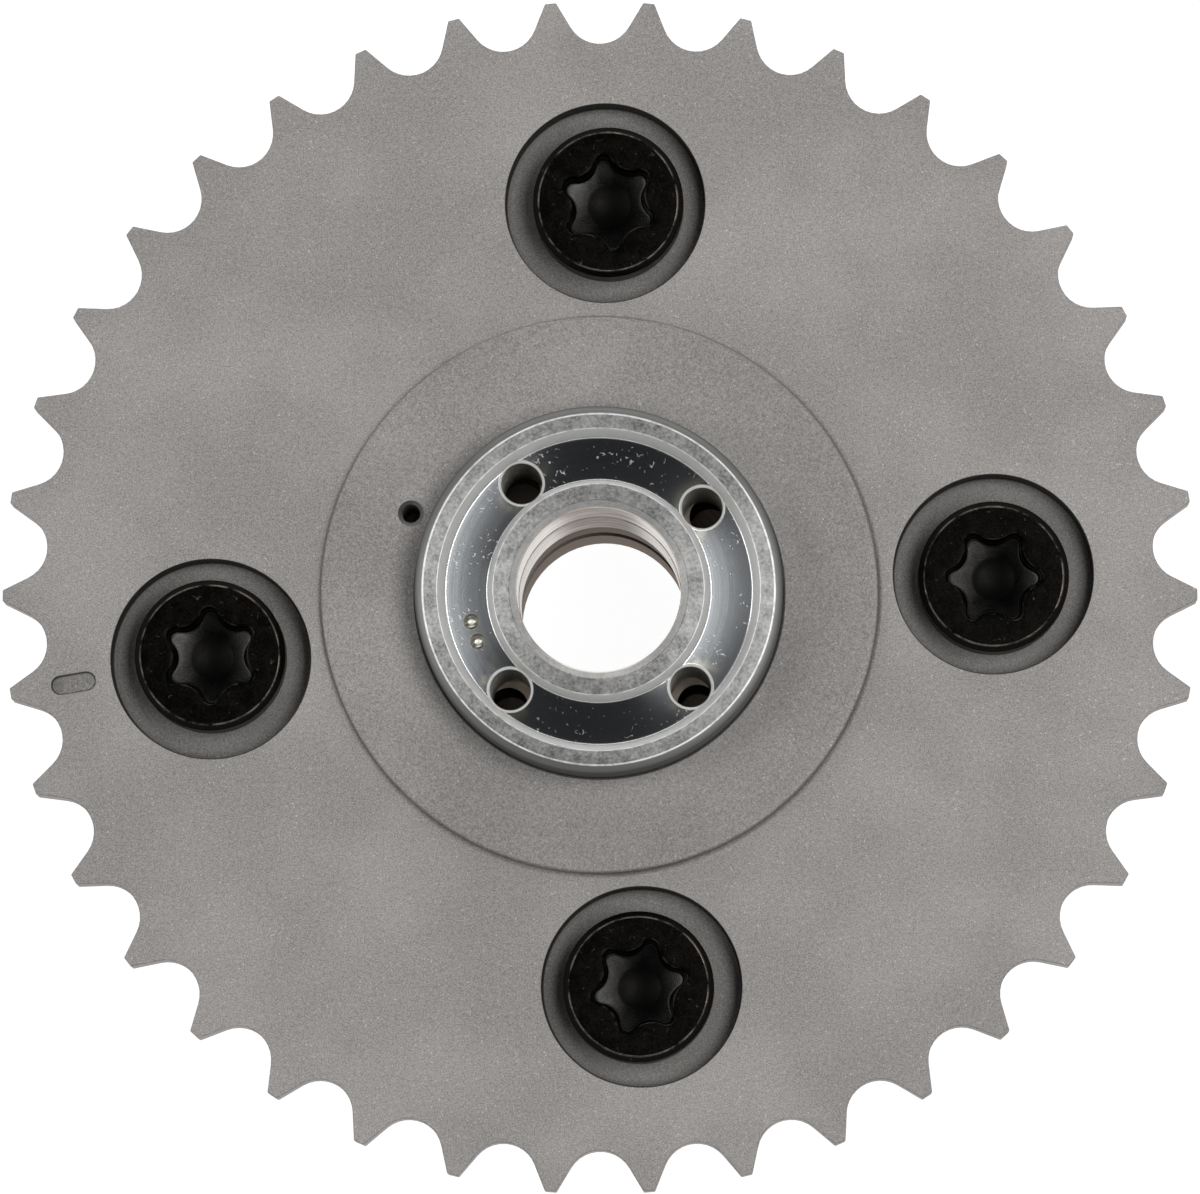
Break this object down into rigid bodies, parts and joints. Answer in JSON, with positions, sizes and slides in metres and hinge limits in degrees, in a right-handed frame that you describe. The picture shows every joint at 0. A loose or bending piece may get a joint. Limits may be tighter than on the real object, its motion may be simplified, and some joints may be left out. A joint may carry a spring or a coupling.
{
  "type": "cam phaser",
  "caption": "Vane cam phaser: a chain wheel screwed over a chambered housing, with a vane rotor on a grooved hub that turns inside it, and a sprung locking pin.",
  "frame": {"origin": "on the camshaft axis, in the plane of the front cover's outer face, which the phaser rests on", "axes": "+Z along the camshaft axis towards the camshaft, +X through a tooth tip"},
  "size_m": [0.1174, 0.117, 0.05],
  "materials": {
    "sintered_steel": "fine sintered grain, matt",
    "turned_steel": "faced on a lathe",
    "rotor_metal": "sintered, with turned bores",
    "hub_metal": "turned, bright",
    "hard_steel": "hardened and ground",
    "spring_steel": "drawn wire and strip",
    "screw_black": "black oxide, satin",
    "seal_plastic": "filled plastic"
  },
  "bodies": {
    "stator": {"sprocket_plate": "sintered_steel", "housing": "sintered_steel", "front_cover": "turned_steel", "locating_dowel": "hard_steel", "lock_bush": "hard_steel", "cover_screw_1": "screw_black", "cover_screw_2": "screw_black", "cover_screw_3": "screw_black", "cover_screw_4": "screw_black", "lobe_seal_1": "seal_plastic", "lobe_seal_2": "seal_plastic", "lobe_seal_3": "seal_plastic", "lobe_seal_4": "seal_plastic", "lobe_seal_spring_1": "spring_steel", "lobe_seal_spring_2": "spring_steel", "lobe_seal_spring_3": "spring_steel", "lobe_seal_spring_4": "spring_steel"},
    "rotor": {"rotor": "rotor_metal", "hub_journal": "hub_metal", "lock_spring_seat": "hard_steel", "lock_pin_spring": "spring_steel", "vane_seal_1": "seal_plastic", "vane_seal_2": "seal_plastic", "vane_seal_3": "seal_plastic", "vane_seal_4": "seal_plastic", "vane_seal_spring_1": "spring_steel", "vane_seal_spring_2": "spring_steel", "vane_seal_spring_3": "spring_steel", "vane_seal_spring_4": "spring_steel"},
    "lock_pin": {"lock_pin": "hard_steel"}
  },
  "joints": [
    {"name": "rotor_turn", "type": "hinge", "parent": "stator", "child": "rotor", "pos_m": [0, 0, 0.0205], "axis": [0, 0, 1], "range_deg": [-25, 0]},
    {"name": "lock_pin_slide", "type": "slide", "parent": "rotor", "child": "lock_pin", "axis": [0, 0, 1], "range_m": [0, 0.0032], "stiffness_N_per_m": 500, "springref_m": -0.006, "deforming": ["lock_pin_spring"]}
  ]
}
